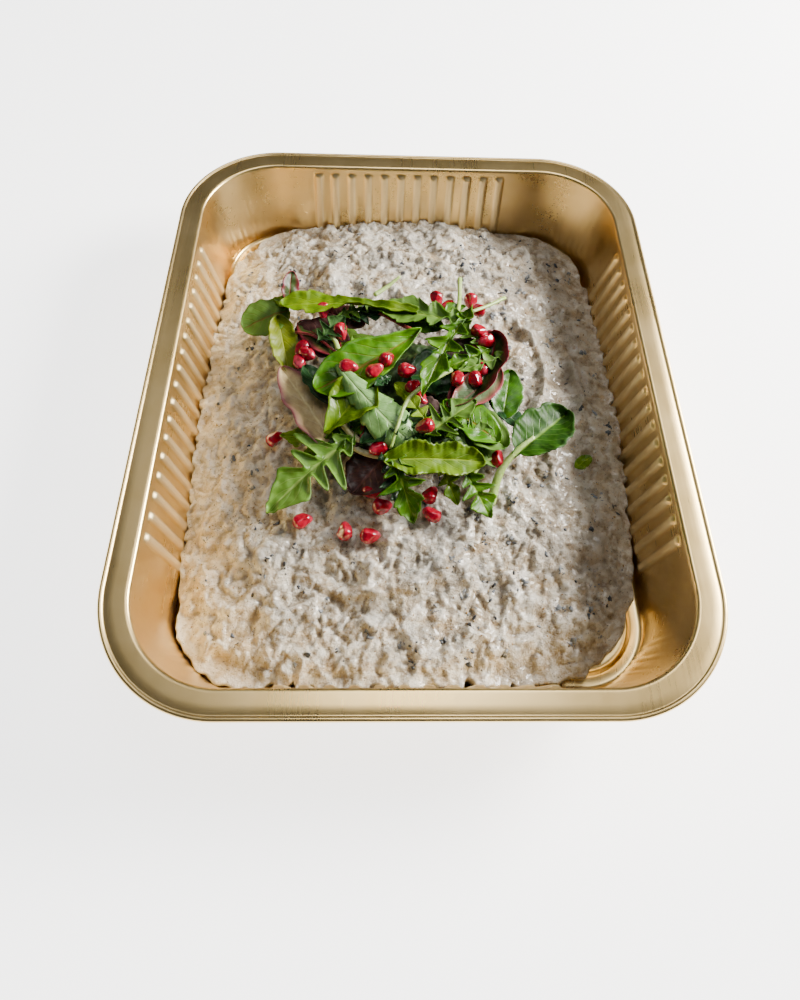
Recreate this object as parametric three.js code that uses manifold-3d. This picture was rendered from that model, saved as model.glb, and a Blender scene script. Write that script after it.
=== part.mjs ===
// Baba ganoush in its foil catering tray, dressed with a heap of salad leaves and
// loose pomegranate seeds. Millimetres, +Z up. The origin is at the middle of the
// tray's foot, on the surface that it stands on, and +Y runs along the tray's length.
import * as THREE from 'three';
import { mergeVertices } from 'three/addons/utils/BufferGeometryUtils.js';
import Module from 'manifold-3d';

// ---- Driving dimensions: the tray ----
const TRAY_LENGTH = 322;
const TRAY_WIDTH = 262;
const TRAY_HEIGHT = 50;
const FOIL = 0.8;
const RIM_WIDTH = 12.7;
const RIM_CORNER_RADIUS = 53.3;
const FOOT_CORNER_RADIUS = 38;
const CORNER_STEPS = 6;
const CURL_DIAMETER = 2.3;
const CURL_RISE = 0.6;
const BEAD_RADIUS = 1.5;
const WALL_DRAFT = THREE.MathUtils.degToRad(10);
const RIB_PITCH = 10;
const RIB_HEIGHT = 1.2;
const RIB_BASE_HALF = 3;
const RIB_CREST_HALF = 1.2;
const RIBS_ON_LONG_SIDE = 18;
const RIBS_ON_SHORT_SIDE = 12;
const RIB_START_DEPTH = 4;
const RIB_RAMP = 5;
const FOOT_HEIGHT = 4;
const FOOT_BEND = 0.9;
const CHANNEL_START = 2.4;
const CHANNEL_WIDTH = 4;
const FLOOR_STEP = 2.2;
const FLOOR_STEP_RUN = 1.8;
const FLOOR_PANEL_START = 9;

// ---- Driving dimensions: the dip ----
const CLEARANCE = 0.3;
const DIP_CROWN = 27;
const DIP_EDGE_MIDDLE = 14;
const DIP_EDGE_CORNER = 5;
const DIP_EDGE_HUMP_SHARE = 0.33;
const STROKE_HEIGHT = 0.7;
const LUMP_HEIGHT = 0.8;
const RELIEF_FADE_POWER = 6;
const DIP_CORNER_POWERS = { backRight: 6, backLeft: 5.2, frontLeft: 7, frontRight: 4.2 };
const DIP_DOME_POWER = 2.2;
const DIP_SHOULDER_POWER = 0.7;
const DIP_AROUND = 72;
const DIP_RINGS = [1, 0.985, 0.95, 0.88, 0.8, 0.7, 0.6, 0.5, 0.38, 0.25, 0.12];

// ---- Driving dimensions: the garnish ----
const HEAP_CENTRE = [-4, -2];
const HEAP_TOP = 59;
const HEAP_BODY_RADIUS = 48;
const HEAP_EDGE = 5;
const HEAP_FOLD = 2.4;
const HEAP_DOME_POWER = 0.8;
const HEAP_BASE_LIFT = 3;
const HEAP_AROUND = 50;
const HEAP_RINGS = [1, 0.92, 0.78, 0.6, 0.4, 0.2];
// Each leaf tip that reaches past the heap's body: direction and spread in degrees, reach.
const LEAF_TIPS = [
  { toward: -13, reach: 84, spread: 13 },
  { toward: 22, reach: 55, spread: 14 },
  { toward: 47, reach: 80, spread: 9 },
  { toward: 67, reach: 78, spread: 7 },
  { toward: 92, reach: 68, spread: 9 },
  { toward: 132, reach: 90, spread: 10 },
  { toward: 152, reach: 95, spread: 9 },
  { toward: 172, reach: 66, spread: 12 },
  { toward: 225, reach: 90, spread: 12 },
  { toward: 273, reach: 70, spread: 8 },
  { toward: 301, reach: 76, spread: 8 },
];
// Pomegranate seeds that lie clear of the heap: place on the dip and turn in degrees.
const LOOSE_SEEDS = [
  { x: -68.5, y: -24.5, turn: 20 },
  { x: -51.5, y: -69, turn: 35 },
  { x: -32, y: -74, turn: 95 },
  { x: -20, y: -76.5, turn: 10 },
  { x: -20, y: -56, turn: 160 },
  { x: -14.5, y: -63, turn: 15 },
  { x: 9, y: -56.5, turn: 60 },
  { x: 8.5, y: -66, turn: 145 },
];
const SEED_LENGTH = 10;
const SEED_WIDTH = 7.8;
const SEED_SUNK = 1;
const SEED_TAPER = 0.28;
const SEED_SIDES = 8;
const SEED_BANDS = 6;

const RIM_TOP = TRAY_HEIGHT - CURL_RISE;
const wasm = await Module();
wasm.setup();

// ---- Helpers for closed lofts ----

// A closed solid from rings of points, each ring running anticlockwise seen from above.
// first and last are the points that close the loft beyond the first and last ring.
function loftRings(rings, first, last) {
  const positions = [...first.toArray()];
  const starts = rings.map((ring) => {
    const start = positions.length / 3;
    ring.forEach(({ point }) => positions.push(...point.toArray()));
    return start;
  });
  const end = positions.length / 3;
  positions.push(...last.toArray());
  const faces = [];
  rings[0].forEach((_, i) => {
    faces.push(0, starts[0] + i, starts[0] + (i + 1) % rings[0].length);
  });
  for (let r = 0; r + 1 < rings.length; r += 1) {
    stitch(faces, rings[r], starts[r], rings[r + 1], starts[r + 1]);
  }
  const lastRing = rings.length - 1;
  rings[lastRing].forEach((_, i) => {
    faces.push(starts[lastRing] + (i + 1) % rings[lastRing].length, starts[lastRing] + i, end);
  });
  const geometry = new THREE.BufferGeometry();
  geometry.setAttribute('position', new THREE.Float32BufferAttribute(positions, 3));
  geometry.setIndex(faces);
  return geometry;
}

// Joins two rings that may have different numbers of points, by their place around the ring.
function stitch(faces, a, aStart, b, bStart) {
  let i = 0;
  let j = 0;
  const placeOf = (ring, k) => (k < ring.length ? ring[k].around : 1 + ring[k - ring.length].around);
  while (i < a.length || j < b.length) {
    const aNow = aStart + (i % a.length);
    const bNow = bStart + (j % b.length);
    const advanceA = j >= b.length || (i < a.length && placeOf(a, i + 1) <= placeOf(b, j + 1));
    if (advanceA) {
      faces.push(aNow, bNow, aStart + ((i + 1) % a.length));
      i += 1;
    } else {
      faces.push(aNow, bNow, bStart + ((j + 1) % b.length));
      j += 1;
    }
  }
}

function toManifold(geometry) {
  const bare = geometry.clone();
  bare.deleteAttribute('normal');
  bare.deleteAttribute('uv');
  const merged = mergeVertices(bare, 1e-4);
  const vertProperties = new Float32Array(merged.attributes.position.array);
  const triVerts = new Uint32Array(merged.index.array);
  return new wasm.Manifold(new wasm.Mesh({ numProp: 3, vertProperties, triVerts }));
}

function fromManifold(manifold) {
  const { vertProperties, triVerts } = manifold.getMesh();
  const geometry = new THREE.BufferGeometry();
  geometry.setAttribute('position', new THREE.Float32BufferAttribute(vertProperties, 3));
  geometry.setIndex([...triVerts]);
  return geometry;
}

function addMesh(group, name, geometry, { colour, roughness, metalness }) {
  geometry.computeVertexNormals();
  const material = new THREE.MeshStandardMaterial({ color: colour, roughness, metalness });
  const mesh = new THREE.Mesh(geometry, material);
  mesh.name = name;
  group.add(mesh);
  return mesh;
}

// ---- The tray: one pressed sheet of foil ----

// How far the inside of the wall is in from the rim's outer edge, at a height.
function wallInset(z) {
  return RIM_WIDTH + (RIM_TOP - BEAD_RADIUS - z) * Math.tan(WALL_DRAFT);
}

function cornerRadius(z) {
  const inner = RIM_CORNER_RADIUS - RIM_WIDTH;
  const down = (RIM_TOP - z) / (RIM_TOP - FOOT_HEIGHT);
  return THREE.MathUtils.lerp(inner, FOOT_CORNER_RADIUS, THREE.MathUtils.clamp(down, 0, 1));
}

// Where the ribs' edges and crests fall along a side, as offsets from its middle.
function ribStations(count) {
  const stations = [];
  for (let k = 0; k < count; k += 1) {
    const centre = (k - (count - 1) / 2) * RIB_PITCH;
    stations.push({ along: centre - RIB_BASE_HALF, crest: false });
    stations.push({ along: centre - RIB_CREST_HALF, crest: true });
    stations.push({ along: centre + RIB_CREST_HALF, crest: true });
    stations.push({ along: centre + RIB_BASE_HALF, crest: false });
  }
  return stations;
}

// One ring of the tray: a rounded rectangle at an inset and height. A ribbed ring has the
// points of every rib, which stand inwards by ribHeight.
function trayRing({ inset, z, radius, ribbed = false, ribHeight = 0 }) {
  const halfWidth = TRAY_WIDTH / 2 - inset;
  const halfLength = TRAY_LENGTH / 2 - inset;
  const ring = [];
  const sides = [
    { out: [1, 0], along: [0, 1], reach: halfWidth, half: halfLength, ribs: RIBS_ON_LONG_SIDE },
    { out: [0, 1], along: [-1, 0], reach: halfLength, half: halfWidth, ribs: RIBS_ON_SHORT_SIDE },
    { out: [-1, 0], along: [0, -1], reach: halfWidth, half: halfLength, ribs: RIBS_ON_LONG_SIDE },
    { out: [0, -1], along: [1, 0], reach: halfLength, half: halfWidth, ribs: RIBS_ON_SHORT_SIDE },
  ];
  sides.forEach(({ out, along, reach, half, ribs }, s) => {
    const straight = half - radius;
    const place = (distance, offset) => new THREE.Vector3(
      out[0] * distance + along[0] * offset,
      out[1] * distance + along[1] * offset,
      z,
    );
    // The corner before the side, then the side's ribs.
    for (let c = 0; c <= CORNER_STEPS; c += 1) {
      const angle = (1 - c / CORNER_STEPS) * Math.PI / 2;
      const distance = reach - radius + radius * Math.cos(angle);
      const offset = -straight - radius * Math.sin(angle);
      ring.push({ around: (s + 0.5 * c / CORNER_STEPS) / 4, point: place(distance, offset) });
    }
    if (ribbed) {
      ribStations(ribs).forEach(({ along: offset, crest }) => {
        const around = (s + 0.75 + 0.25 * offset / straight) / 4;
        ring.push({ around, point: place(reach - (crest ? ribHeight : 0), offset) });
      });
    }
  });
  return ring;
}

// The sheet's inner face from the middle of the floor out to the rim.
function innerStations() {
  const ribTop = RIM_TOP - RIB_START_DEPTH;
  const ribFull = ribTop - RIB_RAMP;
  const footFull = FOOT_HEIGHT + RIB_RAMP / 2;
  const footInset = wallInset(FOOT_HEIGHT);
  const channelOut = footInset + CHANNEL_START;
  const channelIn = channelOut + CHANNEL_WIDTH;
  const wall = (z, extra) => ({ inset: wallInset(z), z, radius: cornerRadius(z), ...extra });
  const foot = (inset, z) => ({ inset, z, radius: FOOT_CORNER_RADIUS - (inset - footInset) });
  return [
    foot(channelIn + FLOOR_PANEL_START, FLOOR_STEP + FOIL),
    foot(channelIn + FLOOR_STEP_RUN, FLOOR_STEP + FOIL),
    foot(channelIn, FOIL),
    foot(channelOut, FOIL),
    foot(footInset + FOOT_BEND, FOOT_HEIGHT / 2),
    wall(FOOT_HEIGHT, { ribbed: true }),
    wall(footFull, { ribbed: true, ribHeight: RIB_HEIGHT }),
    wall(ribFull, { ribbed: true, ribHeight: RIB_HEIGHT }),
    wall(ribTop, { ribbed: true }),
    wall(RIM_TOP - BEAD_RADIUS, {}),
  ];
}

// The rim: the rounded bead over the wall, the flat flange and the rolled outer curl.
function rimStations() {
  const curl = CURL_DIAMETER / 2;
  const curlMiddle = TRAY_HEIGHT - curl;
  const beadStep = FOIL / 2;
  const flange = (inset, z) => ({ inset, z, radius: RIM_CORNER_RADIUS - inset });
  return [
    flange(RIM_WIDTH - beadStep, RIM_TOP - beadStep),
    flange(RIM_WIDTH - BEAD_RADIUS, RIM_TOP),
    flange(CURL_DIAMETER, RIM_TOP),
    flange(curl, TRAY_HEIGHT),
    flange(0, curlMiddle),
    flange(curl, curlMiddle - curl),
    flange(CURL_DIAMETER, RIM_TOP - FOIL),
  ];
}

// The sheet's outer face, one foil thickness out from the inner one, back to the floor.
// Under the raised floor it steps in, and under the channel a little out, to keep the
// sheet's thickness through both bends.
function outerStations() {
  const shift = FOIL / Math.cos(WALL_DRAFT);
  const floorStations = 4;
  return innerStations().reverse().map((station, k, all) => {
    const onFloor = k >= all.length - floorStations;
    if (!onFloor) {
      return { ...station, inset: station.inset - shift, radius: station.radius + shift };
    }
    const inwards = station.z > FOIL ? FOIL / 2 : -FOIL / 4;
    return { ...station, inset: station.inset + inwards, z: station.z - FOIL };
  });
}

function makeTray() {
  const stations = [...innerStations(), ...rimStations(), ...outerStations()];
  const rings = stations.map(trayRing);
  const middleTop = new THREE.Vector3(0, 0, FLOOR_STEP + FOIL);
  const middleUnder = new THREE.Vector3(0, 0, FLOOR_STEP);
  return loftRings(rings, middleTop, middleUnder);
}

// ---- The dip: a spooned mound that fills the tray to its walls but not its corners ----

const DIP_FLOOR = FLOOR_STEP + FOIL + CLEARANCE;
const DIP_WALL_GAP = RIB_HEIGHT + 1.5 * CLEARANCE;

function dipCornerPower(angle) {
  const right = Math.cos(angle) >= 0;
  const back = Math.sin(angle) >= 0;
  if (right) return back ? DIP_CORNER_POWERS.backRight : DIP_CORNER_POWERS.frontRight;
  return back ? DIP_CORNER_POWERS.backLeft : DIP_CORNER_POWERS.frontLeft;
}

// How far the dip reaches from the middle in a direction, on the floor.
function dipReach(angle) {
  const gap = wallInset(DIP_FLOOR) + DIP_WALL_GAP;
  const halfWidth = TRAY_WIDTH / 2 - gap;
  const halfLength = TRAY_LENGTH / 2 - gap;
  const power = dipCornerPower(angle);
  const x = (Math.abs(Math.cos(angle)) / halfWidth) ** power;
  const y = (Math.abs(Math.sin(angle)) / halfLength) ** power;
  return (x + y) ** (-1 / power);
}

// The dip stands high against the middle of each wall and runs low at the corners.
function dipEdge(angle) {
  const x = dipReach(angle) * Math.cos(angle);
  const y = dipReach(angle) * Math.sin(angle);
  const onLongSide = Math.abs(x) / TRAY_WIDTH > Math.abs(y) / TRAY_LENGTH;
  const offset = onLongSide ? Math.abs(y) / TRAY_LENGTH : Math.abs(x) / TRAY_WIDTH;
  const hump = Math.cos(Math.PI / 2 * Math.min(1, offset / DIP_EDGE_HUMP_SHARE)) ** 2;
  return THREE.MathUtils.lerp(DIP_EDGE_CORNER, DIP_EDGE_MIDDLE, hump);
}

// Broad spoon strokes and lumps over the mound, as waves of about 50 to 100 mm whose
// directions and phases are chosen so that no two rows line up.
function dipRelief(x, y) {
  const stroke = Math.sin(0.085 * x + 0.05 * y + 1.2 * Math.sin(0.03 * y + 0.6));
  const lumps = Math.sin(0.13 * x - 0.07 * y + 2) * Math.sin(0.11 * y + 0.06 * x);
  return STROKE_HEIGHT * stroke + LUMP_HEIGHT * lumps;
}

// The height of the dip's surface above a place on the floor.
function dipTop(x, y) {
  const angle = Math.atan2(y, x);
  const out = Math.min(1, Math.hypot(x, y) / dipReach(angle));
  const dome = (1 - out ** DIP_DOME_POWER) ** DIP_SHOULDER_POWER;
  const calm = 1 - out ** RELIEF_FADE_POWER;
  return THREE.MathUtils.lerp(dipEdge(angle), DIP_CROWN, dome) + calm * dipRelief(x, y);
}

function makeDip() {
  const angles = Array.from({ length: DIP_AROUND }, (_, i) => (i / DIP_AROUND) * 2 * Math.PI);
  const ringOf = (radiusAt, heightAt) => angles.map((angle, i) => {
    const radius = radiusAt(angle);
    const x = radius * Math.cos(angle);
    const y = radius * Math.sin(angle);
    return { around: i / DIP_AROUND, point: new THREE.Vector3(x, y, heightAt(angle, x, y)) };
  });
  const lean = (angle) => (dipEdge(angle) - DIP_FLOOR) * Math.tan(WALL_DRAFT);
  const rings = DIP_RINGS.slice().reverse().map((out) => {
    const spread = (angle) => out * dipReach(angle);
    const leaning = (angle) => dipReach(angle) + lean(angle);
    return out === 1
      ? ringOf(leaning, (angle) => dipEdge(angle))
      : ringOf(spread, (angle, x, y) => dipTop(x, y));
  });
  rings.push(ringOf(dipReach, () => DIP_FLOOR));
  const crown = new THREE.Vector3(0, 0, dipTop(0, 0));
  return loftRings(rings, crown, new THREE.Vector3(0, 0, DIP_FLOOR));
}

// ---- The salad heap: one body out to the tips of its leaves ----

function heapReach(angle) {
  let reach = HEAP_BODY_RADIUS;
  LEAF_TIPS.forEach((tip) => {
    const away = THREE.MathUtils.radToDeg(angle) - tip.toward;
    const turn = THREE.MathUtils.euclideanModulo(away + 180, 360) - 180;
    const lobe = (tip.reach - HEAP_BODY_RADIUS) * Math.exp(-((turn / tip.spread) ** 2));
    reach = Math.max(reach, HEAP_BODY_RADIUS + lobe);
  });
  return reach;
}

// The heap's height at a place: up from its edge to its top, with folds of about 35 mm
// that fade out towards the edge.
function heapHeight(x, y, out) {
  const edge = dipTop(x, y) + HEAP_EDGE;
  const fold = Math.sin(0.19 * x + 0.09 * y) * Math.sin(0.17 * y - 0.05 * x + 1);
  const dome = THREE.MathUtils.lerp(edge, HEAP_TOP, (1 - out) ** HEAP_DOME_POWER);
  return dome + HEAP_FOLD * fold * (1 - out ** 3);
}

function makeHeapBlank() {
  const [cx, cy] = HEAP_CENTRE;
  const under = DIP_FLOOR + HEAP_BASE_LIFT;
  const ringAt = (out, flat) => Array.from({ length: HEAP_AROUND }, (_, i) => {
    const angle = (i / HEAP_AROUND) * 2 * Math.PI;
    const x = cx + out * heapReach(angle) * Math.cos(angle);
    const y = cy + out * heapReach(angle) * Math.sin(angle);
    const z = flat ? under : heapHeight(x, y, out);
    return { around: i / HEAP_AROUND, point: new THREE.Vector3(x, y, z) };
  });
  const rings = HEAP_RINGS.slice().reverse().map((out) => ringAt(out, false));
  rings.push(ringAt(1, true));
  const crown = new THREE.Vector3(cx, cy, heapHeight(cx, cy, 0));
  return loftRings(rings, crown, new THREE.Vector3(cx, cy, under));
}

// ---- A pomegranate seed: a blunt drop that narrows to the end it grew from ----

function makeSeedBlank({ x, y, turn }, margin = 0) {
  const seed = new THREE.SphereGeometry(1, SEED_SIDES, SEED_BANDS);
  seed.rotateZ(-Math.PI / 2);
  const place = seed.attributes.position;
  for (let i = 0; i < place.count; i += 1) {
    const narrow = 1 - SEED_TAPER * place.getX(i);
    place.setXYZ(i, place.getX(i), place.getY(i) * narrow, place.getZ(i) * narrow);
  }
  seed.scale(SEED_LENGTH / 2 + margin, SEED_WIDTH / 2 + margin, SEED_WIDTH / 2 + margin);
  seed.rotateZ(THREE.MathUtils.degToRad(turn));
  seed.translate(x, y, dipTop(x, y) + SEED_WIDTH / 2 - SEED_SUNK);
  return seed;
}

// ---- The whole ----

// What lies on the dip is cut to its surface, with a small clearance under it.
function seatOnDip(blank, raisedDip) {
  return toManifold(blank).subtract(raisedDip);
}

// The heap also keeps clear of the seeds that lie against it.
function makeHeap(raisedDip) {
  const seeds = LOOSE_SEEDS.map((seed) => toManifold(makeSeedBlank(seed, 2 * CLEARANCE)));
  return seeds.reduce((heap, seed) => heap.subtract(seed), seatOnDip(makeHeapBlank(), raisedDip));
}

const group = new THREE.Group();
const GOLD_FOIL = { colour: 0xc8a86a, roughness: 0.35, metalness: 1 };
const DIP_CREAM = { colour: 0xb8ab97, roughness: 0.45, metalness: 0 };
const LEAF_GREEN = { colour: 0x5a8a2c, roughness: 0.5, metalness: 0 };
const SEED_RED = { colour: 0x9c0f1e, roughness: 0.15, metalness: 0 };

const dipGeometry = makeDip();
const raisedDip = toManifold(dipGeometry).translate([0, 0, CLEARANCE]);

addMesh(group, 'tray', makeTray(), GOLD_FOIL);
addMesh(group, 'baba_ganoush', dipGeometry, DIP_CREAM);
addMesh(group, 'salad_heap', fromManifold(makeHeap(raisedDip)), LEAF_GREEN);
LOOSE_SEEDS.forEach((seed, i) => {
  const seated = fromManifold(seatOnDip(makeSeedBlank(seed), raisedDip));
  addMesh(group, `pomegranate_seed_${i + 1}`, seated, SEED_RED);
});

export default group;
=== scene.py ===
# %% [markdown]
# # Baba ganoush in a foil tray
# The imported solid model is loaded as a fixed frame. Everything below is built around it, in
# metres, and most of its solids are replaced by finer meshes of the same size and place.

# %% Load the frame
import math
import random

import bmesh
import bpy
from mathutils import Matrix, Vector, noise


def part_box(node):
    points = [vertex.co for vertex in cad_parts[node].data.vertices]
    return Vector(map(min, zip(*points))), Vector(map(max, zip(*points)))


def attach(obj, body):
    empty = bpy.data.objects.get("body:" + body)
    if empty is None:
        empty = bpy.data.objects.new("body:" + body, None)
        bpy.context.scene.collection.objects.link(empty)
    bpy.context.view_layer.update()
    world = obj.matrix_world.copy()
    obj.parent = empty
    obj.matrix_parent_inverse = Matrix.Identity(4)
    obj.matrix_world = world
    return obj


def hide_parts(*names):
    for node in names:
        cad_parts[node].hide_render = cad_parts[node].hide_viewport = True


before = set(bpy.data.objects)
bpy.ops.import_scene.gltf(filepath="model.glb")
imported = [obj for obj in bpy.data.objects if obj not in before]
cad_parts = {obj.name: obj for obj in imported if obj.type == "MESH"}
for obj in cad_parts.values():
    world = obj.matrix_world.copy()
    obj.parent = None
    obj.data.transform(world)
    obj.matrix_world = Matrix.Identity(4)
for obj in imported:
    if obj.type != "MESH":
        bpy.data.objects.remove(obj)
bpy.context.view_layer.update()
MM = 0.001
print("frame nodes:", sorted(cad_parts))

# %% [markdown]
# A finish is a small shader graph. Written node by node it is long and hard to read, so one
# class wraps a socket and lets the maths be plain expressions, and another makes any node.

# %% Shader helpers
class Wire:
    """A value in a finish's graph, so that masks can be written as sums and products."""

    def __init__(self, finish, socket):
        self.finish = finish
        self.socket = socket

    def math(self, operation, *operands, clamp=False):
        settings = {"operation": operation, "use_clamp": clamp}
        return self.finish.node("ShaderNodeMath", settings, dict(enumerate(operands)))

    def __add__(self, other):
        return self.math("ADD", self, other)

    def __sub__(self, other):
        return self.math("SUBTRACT", self, other)

    def __rsub__(self, other):
        return self.math("SUBTRACT", other, self)

    def __mul__(self, other):
        return self.math("MULTIPLY", self, other)

    def __truediv__(self, other):
        return self.math("DIVIDE", self, other)

    def __pow__(self, other):
        return self.math("POWER", self, other)

    __radd__ = __add__
    __rmul__ = __mul__

    def absolute(self):
        return self.math("ABSOLUTE", self)

    def over(self, low, high):
        """0 at low and 1 at high, clamped between them."""
        return self.math("DIVIDE", self - low, high - low, clamp=True)


class Finish:
    """A material whose Principled shader is set up from named sockets."""

    def __init__(self, name):
        self.material = bpy.data.materials.new(name)
        self.material.use_nodes = True
        self.tree = self.material.node_tree
        self.surface = self.tree.nodes["Principled BSDF"]

    def node(self, kind, settings=None, inputs=None, output=0):
        made = self.tree.nodes.new(kind)
        for key, value in (settings or {}).items():
            if key == "stops":
                self.set_stops(made.color_ramp, value)
            else:
                setattr(made, key, value)
        for key, value in (inputs or {}).items():
            self.feed(made.inputs[key], value)
        return Wire(self, made.outputs[output])

    def set_stops(self, ramp, stops):
        while len(ramp.elements) < len(stops):
            ramp.elements.new(1.0)
        for element, (place, colour) in zip(ramp.elements, stops):
            element.position = place
            element.color = (*colour, 1.0)

    def feed(self, socket, value):
        if isinstance(value, Wire):
            self.tree.links.new(value.socket, socket)
        elif isinstance(value, tuple) and len(value) == 3 and socket.type == "RGBA":
            socket.default_value = (*value, 1.0)
        else:
            socket.default_value = value

    def set(self, **sockets):
        for key, value in sockets.items():
            self.feed(self.surface.inputs[key.replace("_", " ")], value)
        return self.material

    def place(self):
        """Object coordinates, in metres."""
        return self.node("ShaderNodeTexCoord", output="Object")

    def uv(self, axis):
        """One coordinate of the piece's own map: 0 is across, 1 is along."""
        spot = self.node("ShaderNodeUVMap")
        return self.node("ShaderNodeSeparateXYZ", {}, {0: spot}, output=axis)

    def noise(self, size, detail=2.0, rough=0.5, stretch=None):
        """Cloudy variation whose lumps are about size metres across."""
        spot = self.place()
        if stretch:
            spot = self.node("ShaderNodeMapping", {}, {0: spot, "Scale": stretch})
        values = {"Vector": spot, "Scale": 1 / size, "Detail": detail, "Roughness": rough}
        return self.node("ShaderNodeTexNoise", {}, values)

    def mix(self, amount, first, second, blend="MIX"):
        settings = {"data_type": "RGBA", "blend_type": blend}
        return self.node("ShaderNodeMix", settings, {0: amount, 6: first, 7: second}, output=2)

    def bump(self, height, distance, strength=1.0):
        values = {"Height": height, "Distance": distance, "Strength": strength}
        return self.node("ShaderNodeBump", {}, values)


# %% [markdown]
# The camera stands in front of the tray, a forearm's length away, and looks down on it at
# about 57 degrees, as someone does who is about to serve from it.

# %% Camera
CAMERA_AT = Vector((-0.0172, -0.2123, 0.3596))
CAMERA_YAW = math.radians(3.604)
CAMERA_DOWN = math.radians(56.77)
CAMERA_ROLL = math.radians(3.80)
FOCAL_LENGTH = 27.29
LENS_SHIFT = (-0.0043, -0.1116)


def make_camera():
    across = math.cos(CAMERA_DOWN)
    ahead = Vector((math.sin(CAMERA_YAW) * across, math.cos(CAMERA_YAW) * across, -math.sin(CAMERA_DOWN)))
    right = Vector((math.cos(CAMERA_YAW), -math.sin(CAMERA_YAW), 0.0))
    up = right.cross(ahead)
    rolled_right = right * math.cos(CAMERA_ROLL) + up * math.sin(CAMERA_ROLL)
    rolled_up = up * math.cos(CAMERA_ROLL) - right * math.sin(CAMERA_ROLL)
    data = bpy.data.cameras.new("camera")
    data.sensor_width = 36
    data.lens = FOCAL_LENGTH
    data.shift_x, data.shift_y = LENS_SHIFT
    data.clip_start = 0.01
    camera = bpy.data.objects.new("camera", data)
    turn = Matrix((rolled_right, rolled_up, -ahead)).transposed().to_4x4()
    camera.matrix_world = Matrix.Translation(CAMERA_AT) @ turn
    bpy.context.collection.objects.link(camera)
    bpy.context.scene.camera = camera


make_camera()
print("camera at", [round(c, 3) for c in CAMERA_AT])

# %% [markdown]
# The tray stands on a plain white floor. A broad window low at the right lights the dip from
# the side, so that its lumps show. The right wall shades the dip beside it, and the left
# wall throws golden light back on it. A soft lamp overhead gives the rim something to
# reflect, and a dim world fills the shade.

# %% Floor and lights
def lamp(name, place, aim, size, power, colour):
    data = bpy.data.lights.new(name, "AREA")
    data.shape = "RECTANGLE"
    data.size, data.size_y = size
    data.energy = power
    data.color = colour
    light = bpy.data.objects.new(name, data)
    facing = (Vector(aim) - Vector(place)).to_track_quat("-Z", "Y")
    light.matrix_world = Matrix.Translation(place) @ facing.to_matrix().to_4x4()
    bpy.context.collection.objects.link(light)


def make_floor():
    bm = bmesh.new()
    bmesh.ops.create_grid(bm, x_segments=1, y_segments=1, size=3.0)
    mesh = bpy.data.meshes.new("floor")
    bm.to_mesh(mesh)
    bm.free()
    floor = bpy.data.objects.new("floor", mesh)
    bpy.context.collection.objects.link(floor)
    pale = Finish("pale_floor").set(
        Base_Color=(0.92, 0.92, 0.92), Roughness=0.9, Specular_IOR_Level=0.1,
        Emission_Color=(1.0, 1.0, 1.0), Emission_Strength=3.0,
    )
    mesh.materials.append(pale)


def make_world():
    world = bpy.data.worlds.new("soft_studio")
    world.use_nodes = True
    sky = world.node_tree.nodes["Background"]
    sky.inputs["Color"].default_value = (0.90, 0.95, 1.0, 1.0)
    sky.inputs["Strength"].default_value = 0.10
    bpy.context.scene.world = world


make_floor()
make_world()
lamp("window", (0.95, 0.32, 0.58), (0, 0, 0.03), (0.5, 0.4), 60, (1.0, 0.97, 0.92))
lamp("overhead", (0.10, 0.32, 1.15), (0, 0, 0.03), (0.35, 0.7), 4.6, (1.0, 0.98, 0.95))
lamp("left_sky", (-0.45, 0.45, 1.05), (0, 0, 0.03), (0.4, 0.9), 0.5, (1.0, 0.98, 0.96))
print("floor, world and three lamps")

# %% [markdown]
# ## The foil tray
# A real tray is one sheet of thin foil, pressed between two dies. Its shape is a rounded
# rectangle that is drawn down in stages: the rolled rim, the flat flange, the drafted wall
# with its ribs, the foot channel and the floor. A ring of edges is the natural way to make
# it: the ring is extruded stage by stage and each new ring is moved inwards and down.

# %% Tray sizes, from the frame
TRAY_LOW, TRAY_HIGH = (Vector(corner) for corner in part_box("tray"))
HALF_WIDTH = TRAY_HIGH.x
HALF_LENGTH = TRAY_HIGH.y
TRAY_TOP = TRAY_HIGH.z
FOIL = 0.35 * MM
RIM_RADIUS = 53.3 * MM
CURL = 1.15 * MM
FLANGE_TOP = TRAY_TOP - 0.6 * MM
WALL_TOP_INSET = 12.7 * MM
WALL_SLOPE = math.tan(math.radians(10))
RIB_PITCH = 10 * MM
RIB_HEIGHT = 1.4 * MM
RIB_HALF = 2.7 * MM
RIB_FLANK = 1.3 * MM
RIB_TOP = FLANGE_TOP - 3.6 * MM
RIB_RAMP = 3.0 * MM
RIB_FOOT = 4.5 * MM
LONG_RIB_END = 90 * MM
SHORT_RIB_END = 60 * MM
FOOT_LEAN = 2.2 * MM
STRAIGHT_STEP = 1.0 * MM
CORNER_SEGMENTS = 56
print("tray", [round(c / MM) for c in TRAY_HIGH - TRAY_LOW], "mm")

# %% [markdown]
# The ribs and the corner wrinkles are small moves of the wall along its own normal. They
# are functions of where a point is, so that the dip can be made to meet the same wall.

# %% The wall's shape
def wall_inset(z):
    return WALL_TOP_INSET + (FLANGE_TOP - 1.5 * MM - z) * WALL_SLOPE


def smooth_step(value, low, high):
    t = min(1.0, max(0.0, (value - low) / (high - low)))
    return t * t * (3 - 2 * t)


def rib_relief(offset, end, z):
    """How far a rib stands in from the wall at an offset along a side."""
    if abs(offset) > end:
        return 0.0
    from_crest = (offset + 10 * RIB_PITCH) % RIB_PITCH - RIB_PITCH / 2
    across = smooth_step(abs(from_crest), RIB_HALF, RIB_HALF - RIB_FLANK)
    down = smooth_step(z, RIB_TOP, RIB_TOP - RIB_RAMP) * smooth_step(z, RIB_FOOT, RIB_FOOT + 4 * MM)
    return RIB_HEIGHT * across * down


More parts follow.
